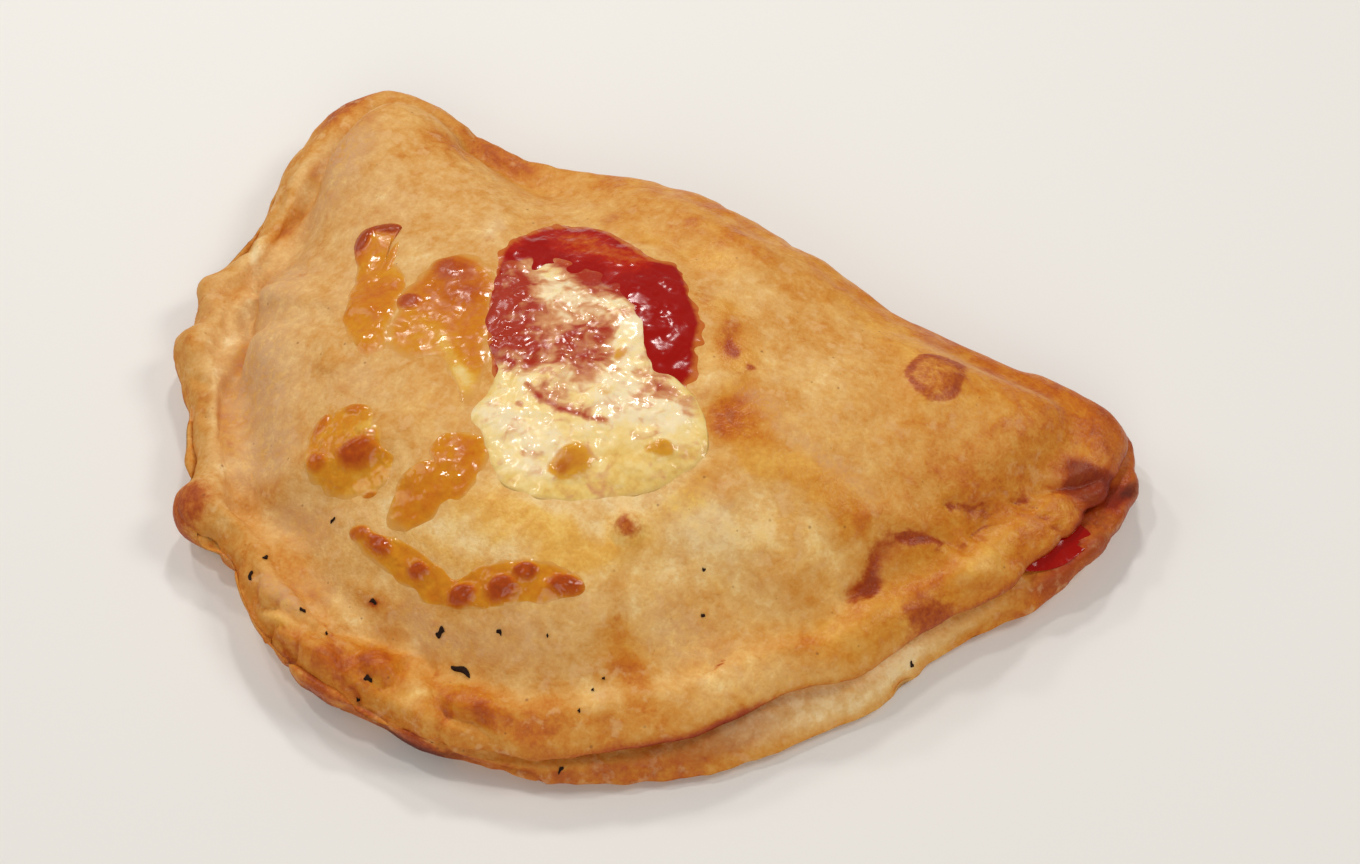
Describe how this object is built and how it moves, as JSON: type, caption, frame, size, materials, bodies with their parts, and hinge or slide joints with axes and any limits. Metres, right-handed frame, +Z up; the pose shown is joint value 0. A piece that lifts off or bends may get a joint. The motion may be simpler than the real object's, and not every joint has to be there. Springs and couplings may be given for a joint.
{
  "type": "calzone",
  "caption": "Baked folded calzone with a crimped curved rim, a tomato filling that shows at the seam, and tomato sauce and melted, browned cheese on top.",
  "frame": {"origin": "on the surface that the calzone lies on, under the middle of its bounding box", "axes": "+X along the straight fold from the left tip to the right tip, +Y from the curved seam to the fold, +Z up"},
  "size_m": [0.2511, 0.1693, 0.0442],
  "materials": {
    "baked_dough": "baked dough, pale tan with golden and brown patches, floury and nearly matt, oily near the toppings",
    "filling": "cooked tomato filling, deep red and wet",
    "tomato": "tomato sauce, deep red and wet",
    "mozzarella": "melted mozzarella, cream yellow with a wet gloss",
    "browned_cheese": "melted cheese baked orange brown, with an oily gloss"
  },
  "bodies": {
    "root": {"dough": "baked_dough", "filling": "filling", "tomato_pool": "tomato", "cheese_pool": "mozzarella", "cheese_patch": "browned_cheese", "cheese_ring": "browned_cheese", "cheese_curl": "browned_cheese", "cheese_drip": "browned_cheese", "cheese_ridge": "browned_cheese"}
  },
  "joints": []
}
